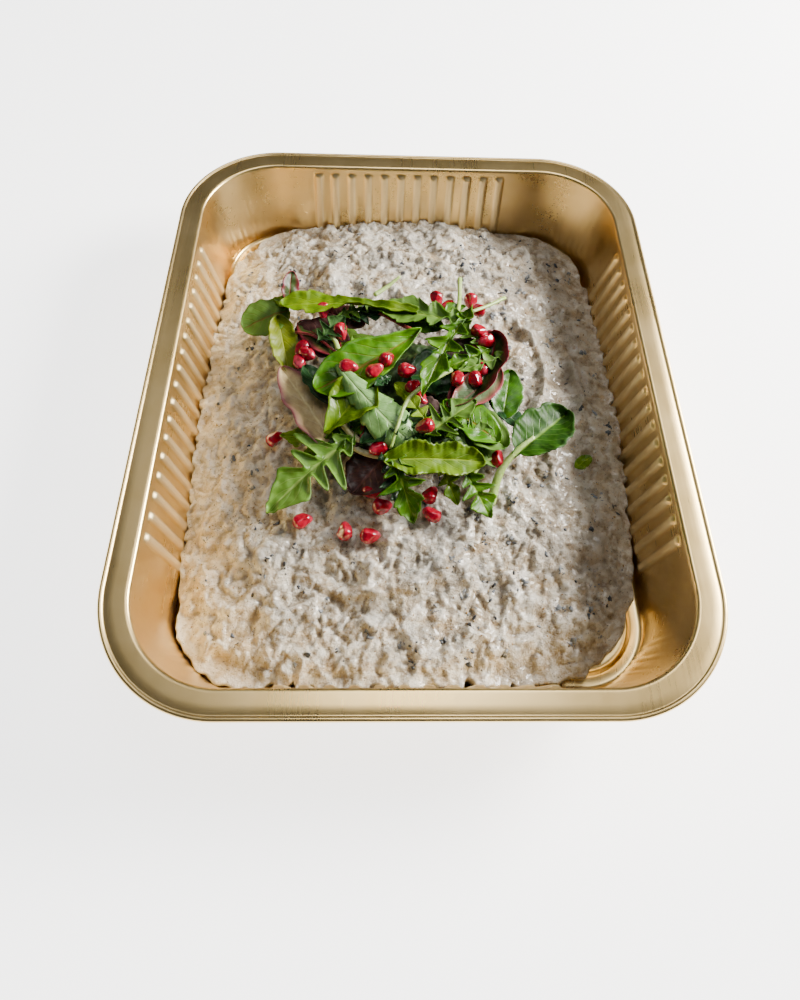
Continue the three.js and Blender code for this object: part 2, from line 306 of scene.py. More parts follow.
def corner_relief(turn, z):
    """Fine upright wrinkles in the lower half of a corner, where the foil was gathered."""
    middle = math.sin(2 * turn) ** 2
    low = smooth_step(z, 34 * MM, 12 * MM)
    wave = math.sin(turn * 46) + 0.6 * math.sin(turn * 71 + 1.3)
    return middle * (FOOT_LEAN * smooth_step(z, FLANGE_TOP, 4 * MM) + 0.16 * MM * low * wave)


class RimPoint:
    """A point of the tray's outline: its place, its inward direction and where it lies."""

    def __init__(self, co):
        x, y = co.x, co.y
        cx = HALF_WIDTH - RIM_RADIUS
        cy = HALF_LENGTH - RIM_RADIUS
        centre = Vector((math.copysign(min(abs(x), cx), x), math.copysign(min(abs(y), cy), y), 0))
        flat = Vector((x, y, 0))
        self.outward = (flat - centre).normalized()
        self.in_corner = abs(x) > cx + 1e-6 and abs(y) > cy + 1e-6
        self.start = flat
        self.turn = math.atan2(abs(self.outward.y), abs(self.outward.x))
        self.on_long_side = abs(self.outward.x) > 0.5
        self.rib = 0.0

    def at(self, inset, z, ribbed=False):
        lean = 0.0
        if ribbed and self.in_corner:
            lean = corner_relief(self.turn, z)
        elif ribbed:
            offset = self.start.y if self.on_long_side else self.start.x
            end = LONG_RIB_END if self.on_long_side else SHORT_RIB_END
            lean = rib_relief(offset, end, z)
        self.rib = 0.0 if self.in_corner else lean / RIB_HEIGHT
        spot = self.start - self.outward * (inset + lean)
        return Vector((spot.x, spot.y, z))


# %% [markdown]
# The stages run from the curl's tucked-in edge, over the curl, across the flange, down the
# wall and over the foot to the floor. Bends get several rings, so that they catch the light
# as round beads and not as creases.

# %% The stages of the draw
def arc_stages(centre_inset, centre_z, radius, start, end, steps):
    """Rings round a bend: angles in degrees from straight in, turning towards up."""
    for k in range(steps + 1):
        angle = math.radians(start + (end - start) * k / steps)
        yield centre_inset + radius * math.cos(angle), centre_z + radius * math.sin(angle), False


def tray_stages():
    stages = list(arc_stages(CURL, TRAY_TOP - CURL, CURL, -60, -180, 4))
    stages += list(arc_stages(CURL, TRAY_TOP - CURL, CURL, 160, 30, 5))
    stages += [(2.45 * MM, FLANGE_TOP - 0.12 * MM, False), (2.8 * MM, FLANGE_TOP, False)]
    stages += [(6.5 * MM, FLANGE_TOP - 0.05 * MM, False), (10.6 * MM, FLANGE_TOP, False)]
    stages += list(arc_stages(WALL_TOP_INSET - 1.7 * MM, FLANGE_TOP - 1.7 * MM, 1.7 * MM, 80, 10, 4))
    ramp = [RIB_TOP + 0.4 * MM - RIB_RAMP * k / 5 for k in range(7)]
    for z in [FLANGE_TOP - 2.6 * MM, *ramp, 32 * MM, 24 * MM, 16 * MM, 10.5 * MM, 8.4 * MM, 7 * MM, 5.6 * MM, 4.6 * MM]:
        stages.append((wall_inset(z), z, True))
    foot = wall_inset(4 * MM)
    stages += [(foot + 0.1 * MM, 3.9 * MM, True), (foot + 0.5 * MM, 2.5 * MM, False)]
    stages += [(foot + 1.2 * MM, 1.2 * MM, False), (foot + 2.2 * MM, 0.55 * MM, False)]
    stages += [(foot + 3.2 * MM, FOIL, False), (foot + 6.2 * MM, FOIL, False)]
    stages += [(foot + 7.1 * MM, 0.7 * MM, False), (foot + 7.7 * MM, 1.7 * MM, False)]
    stages += [(foot + 8.4 * MM, 2.7 * MM, False), (foot + 9.3 * MM, 3.0 * MM, False)]
    stages += [(foot + 10.4 * MM, 2.85 * MM, False), (foot + 16 * MM, 2.75 * MM, False)]
    stages += [(foot + 17.2 * MM, 2.6 * MM, False), (foot + 18.5 * MM, 2.3 * MM, False)]
    return stages + [(foot + 24 * MM, 2.3 * MM, False)]


# %% [markdown]
# The first ring is a plain rectangle of four vertices. Bevelling its corners makes the
# arcs, and the straight edges are cut finely enough to carry a rib's round section.

# %% Build the tray
def outline_ring(bm):
    bmesh.ops.create_grid(bm, x_segments=1, y_segments=1, size=1.0)
    bmesh.ops.scale(bm, vec=(HALF_WIDTH, HALF_LENGTH, 1), verts=bm.verts)
    bmesh.ops.bevel(
        bm, geom=bm.verts[:], offset=RIM_RADIUS, offset_type="OFFSET", affect="VERTICES",
        segments=CORNER_SEGMENTS, profile=0.5, material=-1,
    )
    bmesh.ops.delete(bm, geom=bm.faces[:], context="FACES_ONLY")
    for edge in [e for e in bm.edges if e.calc_length() > 20 * MM]:
        cuts = round(edge.calc_length() / STRAIGHT_STEP) - 1
        bmesh.ops.subdivide_edges(bm, edges=[edge], cuts=cuts)
    return bm.edges[:]


def next_ring(bm, ring):
    """Extrudes a ring of edges. Returns the new ring and which old vertex each new one copies."""
    made = bmesh.ops.extrude_edge_only(bm, edges=ring)["geom"]
    fresh = {g for g in made if isinstance(g, bmesh.types.BMVert)}
    copied = {}
    for vert in fresh:
        copied[vert] = next(e.other_vert(vert) for e in vert.link_edges if e.other_vert(vert) not in fresh)
    edges = [e for e in {e for v in fresh for e in v.link_edges} if all(v in fresh for v in e.verts)]
    return edges, copied


def build_tray():
    bm = bmesh.new()
    rib = bm.verts.layers.float.new("rib")
    ring = outline_ring(bm)
    points = {v: RimPoint(v.co) for e in ring for v in e.verts}
    stages = tray_stages()
    for vert, point in points.items():
        vert.co = point.at(*stages[0])
    for stage in stages[1:]:
        ring, copied = next_ring(bm, ring)
        points = {vert: points[before] for vert, before in copied.items()}
        for vert, point in points.items():
            vert.co = point.at(*stage)
            vert[rib] = point.rib
    bmesh.ops.contextual_create(bm, geom=ring)
    bmesh.ops.recalc_face_normals(bm, faces=bm.faces[:])
    floor = max(bm.faces, key=lambda f: f.calc_area())
    if floor.normal.z < 0:
        bmesh.ops.reverse_faces(bm, faces=bm.faces[:])
    return bm


def add_piece(name, bm, finish, smooth=True):
    """Turns a bmesh into an object of the part that rides on its one body."""
    for face in bm.faces:
        face.smooth = smooth
    mesh = bpy.data.meshes.new(name)
    bm.to_mesh(mesh)
    bm.free()
    piece = bpy.data.objects.new(name, mesh)
    bpy.context.collection.objects.link(piece)
    mesh.materials.append(finish)
    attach(piece, "root")
    print(name, "has", len(mesh.polygons), "faces")
    return piece


# %% [markdown]
# The foil is lacquered aluminium with a satin gold finish. It is nearly even, with faint
# rolling lines along its length and a little handling haze. Both go into roughness, the
# haze is a shallow bump too, and the colour only drifts slightly. The ribs are duller than
# the wall between them, and are painted paler as a painted highlight where they catch the
# light; each point keeps how far up a rib it is.

# %% Gold foil finish
def gold_foil():
    gold = Finish("gold_foil")
    haze = gold.noise(28 * MM, detail=3)
    lines = gold.noise(1.2 * MM, detail=2, stretch=(1.0, 0.02, 1.0))
    rib = gold.node("ShaderNodeAttribute", {"attribute_name": "rib"}, output="Fac")
    colour = gold.mix(haze.over(0.35, 0.65), (0.79, 0.56, 0.225), (0.87, 0.64, 0.29))
    # Painted highlight: the rib crests are painted paler gold, as where they catch the light.
    colour = gold.mix(rib.over(0.15, 0.75), colour, (0.93, 0.74, 0.41))
    rough = 0.21 + 0.10 * haze + 0.06 * lines + 0.15 * rib
    dents = gold.bump(haze, 0.06 * MM, 0.5)
    return gold.set(Base_Color=colour, Metallic=1.0, Roughness=rough, Normal=dents)


tray = add_piece("foil_tray", build_tray(), gold_foil())
thicken = tray.modifiers.new("foil", "SOLIDIFY")
thicken.thickness = FOIL
thicken.offset = -1
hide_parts("tray")

# %% [markdown]
# ## The dip
# The dip was spooned in and levelled roughly, so it is a mound with lumps of soft aubergine
# and the marks of the spoon. It is one moist surface, so it is made as one fine sheet: a
# grid that is fitted to the mound's outline and height, which the frame gives, and is then
# given its lumps by moving its points. Rays into the frame's solid and into the tray tell
# the sheet where to end, so that it meets every rib of the wall.

# %% Where the dip may go
from mathutils.bvhtree import BVHTree

DIP_LOW, DIP_HIGH = (Vector(corner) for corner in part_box("baba_ganoush"))
DOWN = Vector((0, 0, -1))


def tree_of(obj):
    depsgraph = bpy.context.evaluated_depsgraph_get()
    return BVHTree.FromObject(obj, depsgraph)


bpy.context.view_layer.update()
frame_dip = tree_of(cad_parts["baba_ganoush"])
tray_sheet = tree_of(tray)


def reach_of(tree, direction, z):
    """How far a level ray from the middle goes before it meets a surface."""
    hit = tree.ray_cast(Vector((0, 0, z)), direction)
    return hit[3] if hit[0] else None


def height_of(tree, x, y):
    hit = tree.ray_cast(Vector((x, y, 0.2)), DOWN)
    return hit[0].z if hit[0] else None


print("dip box", [round(c / MM, 1) for c in DIP_HIGH - DIP_LOW], "mm")

# %% [markdown]
# The grid is square, and the outline is a rounded oblong with slack corners. Each point is
# drawn in towards the middle by as much as the outline is short of the square there, and
# mostly near the edge, so that the cells stay even in the middle of the mound.

# %% Fit a grid to the outline
DIP_CELLS = (258, 328)
DIP_INTO_WALL = 0.12 * MM
OUTLINE_STEPS = 720
LOW_EDGE = DIP_LOW.z + 1.2 * MM


def edge_height(direction):
    """The height of the mound where it meets the wall in a direction."""
    far = reach_of(frame_dip, direction, LOW_EDGE) - 0.5 * MM
    return height_of(frame_dip, direction.x * far, direction.y * far)


def outline_table():
    """The dip's reach and edge height for evenly spread directions."""
    rows = []
    for k in range(OUTLINE_STEPS):
        angle = 2 * math.pi * k / OUTLINE_STEPS
        direction = Vector((math.cos(angle), math.sin(angle), 0))
        edge = edge_height(direction)
        notch = 8 * MM * max(0.0, noise.noise(direction * 27) - 0.15)
        ragged = 3.2 * MM * abs(noise.noise(direction * 38))
        wall = reach_of(tray_sheet, direction, edge) + DIP_INTO_WALL - notch - ragged
        wobble = 2.6 * MM * noise.noise(direction * 7) + 3.0 * MM * noise.noise(direction * 21)
        free = reach_of(frame_dip, direction, LOW_EDGE) + 2.6 * MM + wobble
        rows.append((min(wall, free), edge))
    return rows


OUTLINE = outline_table()


def outline_at(x, y):
    place = (math.atan2(y, x) / (2 * math.pi)) % 1.0 * OUTLINE_STEPS
    k = int(place)
    part = place - k
    here, there = OUTLINE[k % OUTLINE_STEPS], OUTLINE[(k + 1) % OUTLINE_STEPS]
    return tuple(a + (b - a) * part for a, b in zip(here, there))


def dip_grid():
    bm = bmesh.new()
    bmesh.ops.create_grid(bm, x_segments=DIP_CELLS[0], y_segments=DIP_CELLS[1], size=1.0)
    half = Vector((DIP_HIGH.x, DIP_HIGH.y, 0))
    for vert in bm.verts:
        square = max(abs(vert.co.x), abs(vert.co.y))
        x, y = vert.co.x * half.x, vert.co.y * half.y
        if square < 1e-6:
            vert.co = (0, 0, DIP_HIGH.z)
            continue
        reach, edge = outline_at(x, y)
        full = math.hypot(x, y) / square
        shrink = 1 + (reach / full - 1) * square ** 5
        x, y = x * shrink, y * shrink
        top = height_of(frame_dip, x, y) if square < 0.985 else None
        vert.co = (x, y, top if top is not None else edge)
    for _ in range(14):
        bmesh.ops.smooth_vert(bm, verts=bm.verts[:], factor=0.5, use_axis_z=True)
    return bm


# %% [markdown]
# The lumps come in three sizes: folds left by the spoon, soft chunks of aubergine with
# creases between them, and fine pulp. A cell pattern gives the chunks, as each cell is one
# rounded piece. The right flank was smoothed by the spoon, so its lumps are lower there.
# How far a point is up its lump is kept with it, because the finish paints lump tops paler as painted light and creases
# darker as painted shade.

# %% Lumps and spoon marks
def lump(spot, size, seed):
    """A rounded piece in each cell: 1 on its top, 0 between pieces."""
    near = noise.voronoi(spot / size + Vector((seed, seed, 0)))[0][0]
    return max(0.0, 1 - (near / 0.66) ** 2) ** 0.75


def spoon_marks(x, y):
    """Two curved strokes to the right of the salad, and one across the back."""
    ridge = 0.0
    for cx, cy, radius, start, end in SPOON_STROKES:
        away = math.hypot(x - cx, y - cy) - radius
        turn = math.degrees(math.atan2(y - cy, x - cx))
        ends = smooth_step(turn, start, start + 18) * smooth_step(-turn, -end, 18 - end)
        ridge += ends * (math.exp(-((away / (2.2 * MM)) ** 2)) - 0.7 * math.exp(-(((away + 7 * MM) / (5 * MM)) ** 2)))
    return ridge


SPOON_STROKES = (
    (18 * MM, 22 * MM, 55 * MM, -38, 50),
    (10 * MM, 10 * MM, 82 * MM, -20, 35),
    (-10 * MM, 40 * MM, 66 * MM, 50, 128),
    (-20 * MM, -40 * MM, 62 * MM, -120, -40),
)


def dip_relief(x, y):
    """The height of the lumps at a place, and how far it is up its lump, from 0 to 1."""
    spot = Vector((x, y, 0))
    warp = spot + 4 * MM * noise.noise_vector(spot / (9 * MM)) + 1.4 * MM * noise.noise_vector(spot / (2.8 * MM))
    calm = smooth_step(x, 40 * MM, 80 * MM) * smooth_step(y, -100 * MM, -50 * MM)
    ridge = 1 - abs(noise.noise(warp / (24 * MM) + Vector((3, 1, 4)))) * 4
    broad = (noise.noise(spot / (30 * MM)) * 2.4 + noise.noise(warp / (13 * MM)) * 3.2 + 1.3 * max(-0.5, ridge)) * MM
    mixed = max(0.1, 0.55 + 1.3 * noise.noise(spot / (12 * MM) + Vector((5, 5, 5))))
    large, middle, small = (lump(warp, size * MM, seed) for size, seed in ((8.5, 3), (4.6, 9), (2.5, 17)))
    pieces = (2.3 * mixed * large + 1.5 * (1.3 - mixed) * middle + 0.8 * small) * MM
    pulp = (noise.noise(spot / (2.1 * MM)) * 0.5 + noise.noise(spot / (1.1 * MM)) * 0.25) * MM
    crest = 0.3 * large + 0.35 * middle + 0.3 * small + 0.5 * noise.noise(spot / (5 * MM)) + 0.1 * ridge
    height = broad + (1 - 0.35 * calm) * (pieces + pulp) + 2.6 * MM * spoon_marks(x, y)
    return height, min(1.0, max(0.0, crest))


def roughen(bm):
    crest = bm.verts.layers.float.new("crest")
    for vert in bm.verts:
        inner = 1 - max(abs(vert.co.x) / DIP_HIGH.x, abs(vert.co.y) / DIP_HIGH.y)
        edge_calm = 0.65 + 0.35 * smooth_step(inner, 0.0, 0.05)
        height, vert[crest] = dip_relief(vert.co.x, vert.co.y)
        raised = vert.co.z + (height - 2.4 * MM) * edge_calm
        vert.co.z = max(raised, DIP_LOW.z + 2.6 * MM)


# %% [markdown]
# Below its edge the dip follows the wall down to the floor. The skirt is extruded from the
# sheet's border in a few rings, each one cast out to the wall at its own height, and turns
# in under the mound, where a last face closes it.

# %% Skirt and base
def seat_point(direction, reach, z):
    wall = reach_of(tray_sheet, direction, z)
    far = min(reach, wall + DIP_INTO_WALL) if wall else reach
    return Vector((direction.x * far, direction.y * far, z))


def add_skirt(bm):
    ring = [e for e in bm.edges if e.is_boundary]
    top = {v: v.co.copy() for e in ring for v in e.verts}
    for share in (0.7, 0.4, 0.15, 0.0):
        ring, copied = next_ring(bm, ring)
        top = {vert: top[before] for vert, before in copied.items()}
        for vert, start in top.items():
            flat = Vector((start.x, start.y, 0))
            floor = height_of(tray_sheet, *(flat * 0.992).xy) - 0.1 * MM
            bulge = 1.0 * MM * math.sin(math.pi * share)
            vert.co = seat_point(flat.normalized(), flat.length + bulge, floor + (start.z - floor) * share)
    ring, copied = next_ring(bm, ring)
    for vert in copied:
        vert.co = Vector((vert.co.x * 0.93, vert.co.y * 0.93, DIP_LOW.z + 0.8 * MM))
    bmesh.ops.contextual_create(bm, geom=ring)


def build_dip():
    bm = dip_grid()
    roughen(bm)
    add_skirt(bm)
    bmesh.ops.recalc_face_normals(bm, faces=bm.faces[:])
    return bm


# %% [markdown]
# Baba ganoush is a pale beige-grey paste. Pulp, oil and smoke colour it unevenly, and whole
# patches are greyer or more golden. Its lumps are painted paler on top as painted light, and
# the creases between them darker as painted shade. The right part is painted browner as the
# painted shadow of the right wall, and the left flank golden as painted light thrown back by
# the gold wall. It is wet, so small highlights sit on the lumps.

# %% Dip finish
def dip_paste():
    paste = Finish("dip_paste")
    crest = paste.node("ShaderNodeAttribute", {"attribute_name": "crest"}, output="Fac")
    broad = paste.noise(26 * MM, detail=3)
    patch = paste.noise(5 * MM, detail=4, rough=0.62)
    other = paste.noise(9 * MM, detail=3, rough=0.6, stretch=(1.0, 1.3, 1.0))
    fine = paste.noise(1.3 * MM, detail=4, rough=0.7)
    pale, cream, crease_shade_brown = (0.74, 0.69, 0.59), (0.49, 0.41, 0.30), (0.20, 0.14, 0.075)
    height = crest + 1.1 * (patch - 0.5) + 1.2 * (fine - 0.5)
    # Painted light and shade: lump tops paler and creases darker, by how far up its lump a point is.
    colour = paste.mix(height.over(0.30, 0.62), cream, pale)
    colour = paste.mix(1 - height.over(-0.12, 0.30), colour, crease_shade_brown)
    colour = paste.mix(other.over(0.50, 0.68) * 0.5, colour, (0.50, 0.33, 0.14))
    colour = paste.mix(broad.over(0.46, 0.62) * 0.45, colour, (0.30, 0.285, 0.25))
    # Painted shadow of the right wall: the right part is painted browner. Painted light: the left flank is painted
    # golden, as light thrown back by the gold wall.
    painted_light_x = paste.node("ShaderNodeSeparateXYZ", {}, {0: paste.place()}) + 0.10 * (broad - 0.5)
    colour = paste.mix(painted_light_x.over(0.045, 0.085) * 0.36, colour, (0.29, 0.205, 0.125))
    colour = paste.mix((1 - painted_light_x.over(-0.11, -0.06)) * 0.5, colour, (0.84, 0.62, 0.34))
    specks = paste.noise(0.8 * MM, detail=1).over(0.67, 0.72)
    colour = paste.mix(specks * 0.8, colour, (0.05, 0.05, 0.055))
    smoke = paste.noise(3.2 * MM, detail=4, rough=0.7).over(0.66, 0.72)
    colour = paste.mix(smoke * 0.75, colour, (0.085, 0.095, 0.115))
    wet = paste.noise(4 * MM, detail=3)
    rough = 0.16 + 0.42 * wet
    grain = paste.bump(fine + 0.5 * patch, 1.5 * MM, 1.0)
    return paste.set(
        Base_Color=colour, Roughness=rough, Normal=grain, Coat_Weight=0.5, Coat_Roughness=0.12,
        Subsurface_Weight=0.04, Subsurface_Radius=(0.002, 0.0014, 0.0008), Subsurface_Scale=1.0, IOR=1.42,
    )


dip = add_piece("baba_ganoush_dip", build_dip(), dip_paste())
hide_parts("baba_ganoush")

# %% [markdown]
# Aubergines are charred whole before they are mashed, so bits of burnt skin stay in the dip,
# with a few tan seeds. A scrap of skin breaks up as it is stirred, so most bits lie in small
# groups. Each is a small flattened crumb, pressed well into the surface and turned at
# random. They are joined meshes at true size, one piece for each kind.

# %% Scatter on the dip
dip_surface = tree_of(dip)


def on_dip(x, y):
    hit = dip_surface.ray_cast(Vector((x, y, 0.2)), DOWN)
    return hit[0], hit[1]


def random_spot(rng):
    """A place on the dip, a little denser at the right, where the skin was mixed in."""
    while True:
        x = rng.uniform(DIP_LOW.x, DIP_HIGH.x)
        y = rng.uniform(DIP_LOW.y, DIP_HIGH.y)
        reach, _ = outline_at(x, y)
        crowd = 0.55 + 0.45 * smooth_step(x, -60 * MM, 80 * MM)
        crowd *= 0.35 + 0.65 * smooth_step(noise.noise(Vector((x, y, 0.7)) / (30 * MM)), -0.25, 0.2)
        if math.hypot(x, y) < reach - 6 * MM and rng.random() < crowd:
            return x, y


def add_crumb(bm, x, y, long, flatness, facets, sunk, rng):
    spot, normal = on_dip(x, y)
    shape = Vector((long, long * rng.uniform(0.35, 0.8), long * flatness))
    turn = Matrix.Rotation(rng.uniform(0, 2 * math.pi), 4, "Z")
    lean = normal.to_track_quat("Z", "Y").to_matrix().to_4x4()
    place = Matrix.Translation(spot + normal * shape.z * (0.5 - sunk)) @ lean @ turn
    made = bmesh.ops.create_icosphere(bm, subdivisions=facets, radius=0.5)["verts"]
    for vert in made:
        vert.co *= 1 + 0.9 * noise.noise(vert.co * 3.6 + Vector((7, x * 900, y * 900)))
    bmesh.ops.scale(bm, vec=shape, verts=made)
    bmesh.ops.transform(bm, matrix=place, verts=made)


def scatter(name, groups, in_group, spread, size, flatness, facets, finish, seed, sunk=0.5):
    """Groups of crumbs: each group has up to in_group of them within spread of its middle."""
    rng = random.Random(seed)
    bm = bmesh.new()
    for _ in range(groups):
        x, y = random_spot(rng)
        for _ in range(rng.randint(1, in_group)):
            long = size[0] + (size[1] - size[0]) * rng.random() ** 2.4
            add_crumb(bm, rng.gauss(x, spread), rng.gauss(y, spread), long, flatness, facets, sunk, rng)
    piece = add_piece(name, bm, finish)
    return piece


def fleck_finish(name, dark, light, size, rough):
    fleck = Finish(name)
    shade = fleck.noise(size, detail=3)
    return fleck.set(Base_Color=fleck.mix(shade.over(0.35, 0.65), dark, light), Roughness=rough)


charred = fleck_finish("charred_skin", (0.012, 0.014, 0.018), (0.07, 0.08, 0.095), 1.5 * MM, 0.35)
smoky = fleck_finish("smoky_skin", (0.10, 0.115, 0.13), (0.27, 0.27, 0.26), 2 * MM, 0.45)
seedy = fleck_finish("aubergine_seed", (0.22, 0.12, 0.045), (0.45, 0.30, 0.13), 4 * MM, 0.4)
scatter("charred_flecks", 210, 6, 1.6 * MM, (0.4 * MM, 3.2 * MM), 0.3, 2, charred, 11, 0.45)
scatter("smoky_flecks", 150, 5, 1.2 * MM, (1.0 * MM, 4.0 * MM), 0.22, 2, smoky, 23, 0.45)
scatter("aubergine_seeds", 900, 1, 1.0 * MM, (0.7 * MM, 1.6 * MM), 0.5, 1, seedy, 37, 0.4)

# %% [markdown]
# ## Pomegranate seeds
# A seed in its juicy skin is a drop about 10 mm long that is pressed flat where it touched
# its neighbours. An icosphere is narrowed to one end, and flats are pushed into it from a
# few directions, so that each seed has its own soft facets.

# %% Pomegranate seed shape
SEED_LENGTH = 9.9 * MM
SEED_WIDTH = 7.7 * MM


def seed_shape(bm, along, place, rng):
    made = bmesh.ops.create_icosphere(bm, subdivisions=4, radius=1.0)["verts"]
    flats = [Vector((rng.uniform(-0.45, 0.45), math.cos(a), math.sin(a))).normalized()
             for a in (rng.uniform(-0.3, 0.3) + k * math.pi / 3 for k in range(6))]
    depths = [rng.uniform(0.68, 0.86) for _ in flats]
    for vert in made:
        vert[along] = 0.5 + 0.5 * vert.co.x
        for flat, depth in zip(flats, depths):
            over = vert.co.dot(flat) - depth
            if over > 0:
                vert.co -= flat * over * 0.85
        narrow = 1 - 0.26 * vert.co.x - 0.08 * vert.co.x ** 2
        vert.co.y *= narrow
        vert.co.z *= narrow
    bmesh.ops.scale(bm, vec=Vector((SEED_LENGTH, SEED_WIDTH, SEED_WIDTH)) * 0.5, verts=made)
    bmesh.ops.transform(bm, matrix=place, verts=made)
    return made


def new_seed_mesh():
    bm = bmesh.new()
    return bm, bm.verts.layers.float.new("along")


# %% [markdown]
# The skin is clear and the juice is deep ruby, while the pale pip shows through near the
# narrow end. Subsurface scattering gives the glow, and a full coat gives the wet gleam.

# %% Pomegranate finish
def pomegranate():
    ruby = Finish("pomegranate")
    along = ruby.node("ShaderNodeAttribute", {"attribute_name": "along"}, output="Fac")
    cloud = ruby.noise(2.2 * MM, detail=2)
    pip = (along + 0.3 * (cloud - 0.5)).over(0.66, 1.0)
    deep = ruby.mix(cloud.over(0.35, 0.65), (0.19, 0.0, 0.009), (0.44, 0.002, 0.024))
    colour = ruby.mix(pip * 0.4, deep, (0.66, 0.07, 0.13))
    dimple = ruby.bump(cloud, 0.15 * MM, 0.5)
    return ruby.set(
        Base_Color=colour, Roughness=0.14, Normal=dimple, Coat_Weight=0.8, Coat_Roughness=0.03,
        Subsurface_Weight=0.35, Subsurface_Radius=(0.004, 0.0005, 0.0005), Subsurface_Scale=1.0, IOR=1.4,
    )


ruby_finish = pomegranate()
SEED_TURNS = (45, 25, 95, 10, 160, 15, 60, 145)
SEED_NODES = sorted(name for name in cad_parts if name.startswith("pomegranate_seed"))
for index, (node, turn) in enumerate(zip(SEED_NODES, SEED_TURNS)):
    low, high = (Vector(corner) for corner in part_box(node))
    middle = (low + high) / 2
    bm, along = new_seed_mesh()
    ground = on_dip(middle.x, middle.y)[0].z
    spot = Matrix.Translation((middle.x, middle.y, max(high.z - SEED_WIDTH * 0.46, ground + SEED_WIDTH * 0.40)))
    roll = Matrix.Rotation(math.radians(turn), 4, "Z") @ Matrix.Rotation(math.radians(8), 4, "Y")
    seed_shape(bm, along, spot @ roll, random.Random(index))
    loose = add_piece(f"loose_pomegranate_{index + 1}", bm, ruby_finish)
    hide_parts(node)

# %% [markdown]
# ## Salad leaves
# The heap is a handful of mixed young leaves: rocket, spinach, red and green lettuce, chard
# and pak choi. A leaf is a flat sheet with a strong midrib, so each one starts as a grid.
# Its width along the midrib makes it an oval, a spoon or a lobed rocket leaf, and its
# midrib is then bent between two places in the heap.

# %% Leaf outlines
def lobed(v, lobes, blade):
    """A rocket leaf: a narrow blade with an end lobe and pairs of blunt side lobes."""
    spine = 0.17 * smooth_step(v, 0.0, 0.08) * smooth_step(1 - v, 0.0, 0.06)
    start, widest, width = blade
    rise = smooth_step(v, start, widest)
    fall = max(0.0, 1 - max(0.0, v - widest) / (1 - widest)) ** 0.95
    end_lobe = width * rise * fall
    sides = max(size * math.exp(-abs((v - place) / spread) ** 3) for place, size, spread in lobes)
    return max(spine, end_lobe, sides * smooth_step(1 - v, 0.0, 0.05))


def toothed(v, teeth, depth):
    """A saw edge whose teeth lean towards the tip."""
    return 1 - depth * (1 - (v * teeth) % 1.0)


OUTLINES = {
    "oval": lambda v: max(0.0, math.sin(math.pi * v ** 0.9)) ** 0.62,
    "blunt": lambda v: max(0.0, math.sin(math.pi * v ** 1.7)) ** 0.6,
    "pointed": lambda v: 1.9 * max(0.0, v) ** 0.6 * max(0.0, 1 - v) ** 0.8 * toothed(v, 7, 0.08),
    "round": lambda v: math.sqrt(max(0.0, 1 - (2 * v - 1) ** 2)),
    "spoon": lambda v: math.sqrt(max(0.0, 1 - ((v - 0.54) / 0.46) ** 2)) if v > 0.08 else 0.06 + v,
    "strap": lambda v: min(1.0, (v / 0.25 + 0.05) ** 0.6, (max(0.0, 1 - v) / 0.22) ** 0.5) * toothed(v, 17, 0.06),
    "ribbon": lambda v: (0.36 + 0.64 * smooth_step(v, 0.5, 0.72)) * min(1.0, (max(0.0, 1 - v) / 0.14) ** 0.5) * toothed(v, 5, 0.3),
    "fan": lambda v: (0.10 + 0.90 * v) * min(1.0, (max(0.0, 1 - v) / 0.30) ** 0.55) * toothed(v, 5, 0.10),
    "rocket": lambda v: lobed(v, ((0.10, 0.42, 0.05), (0.27, 0.95, 0.06), (0.44, 0.75, 0.05)), (0.46, 0.66, 0.62)),
    "rocket_long": lambda v: lobed(v, ((0.12, 0.45, 0.05), (0.30, 0.75, 0.045), (0.50, 0.98, 0.05)), (0.52, 0.72, 0.72)) * toothed(v, 8, 0.22),
    "rocket_wide": lambda v: lobed(v, ((0.14, 0.5, 0.06), (0.33, 0.75, 0.08)), (0.30, 0.56, 1.0)) * toothed(v, 6, 0.18),
    "rocket_small": lambda v: lobed(v, ((0.16, 0.6, 0.07), (0.38, 0.9, 0.08)), (0.44, 0.64, 0.8)) * toothed(v, 5, 0.12),
}
FORWARD_SWEEP = {"rocket": 0.45, "rocket_long": 0.5, "rocket_wide": 0.5, "rocket_small": 0.5}
LEAF_CELLS = (14, 84)

# %% [markdown]
# The midrib follows a bowed line from the leaf's base to its tip. Across it the blade is
# cupped, its margin ruffled and its face puckered between the veins. What would sink into
# the dip is lifted to lie on it.

# %% Bend a leaf into place
HEAP_LOW, HEAP_HIGH = (Vector(corner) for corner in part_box("salad_heap"))
HEAP_MIDDLE = Vector(((HEAP_LOW.x + HEAP_HIGH.x) / 2, (HEAP_LOW.y + HEAP_HIGH.y) / 2, 0))
UP = Vector((0, 0, 1))


def in_heap(spot):
    """A place given in millimetres: across and along from the heap's middle, up from the foot."""
    return HEAP_MIDDLE + Vector(spot) * MM


def bow(start, middle, end, t):
    return start * (1 - t) ** 2 + middle * 2 * t * (1 - t) + end * t * t


def lift_off_dip(spot, gap=0.5 * MM):
    hit = dip_surface.ray_cast(Vector((spot.x, spot.y, 0.2)), DOWN)[0]
    if hit and spot.z < hit.z + gap:
        spot.z = hit.z + gap
    spot.z = min(spot.z, HEAP_HIGH.z - 0.4 * MM)
    return spot


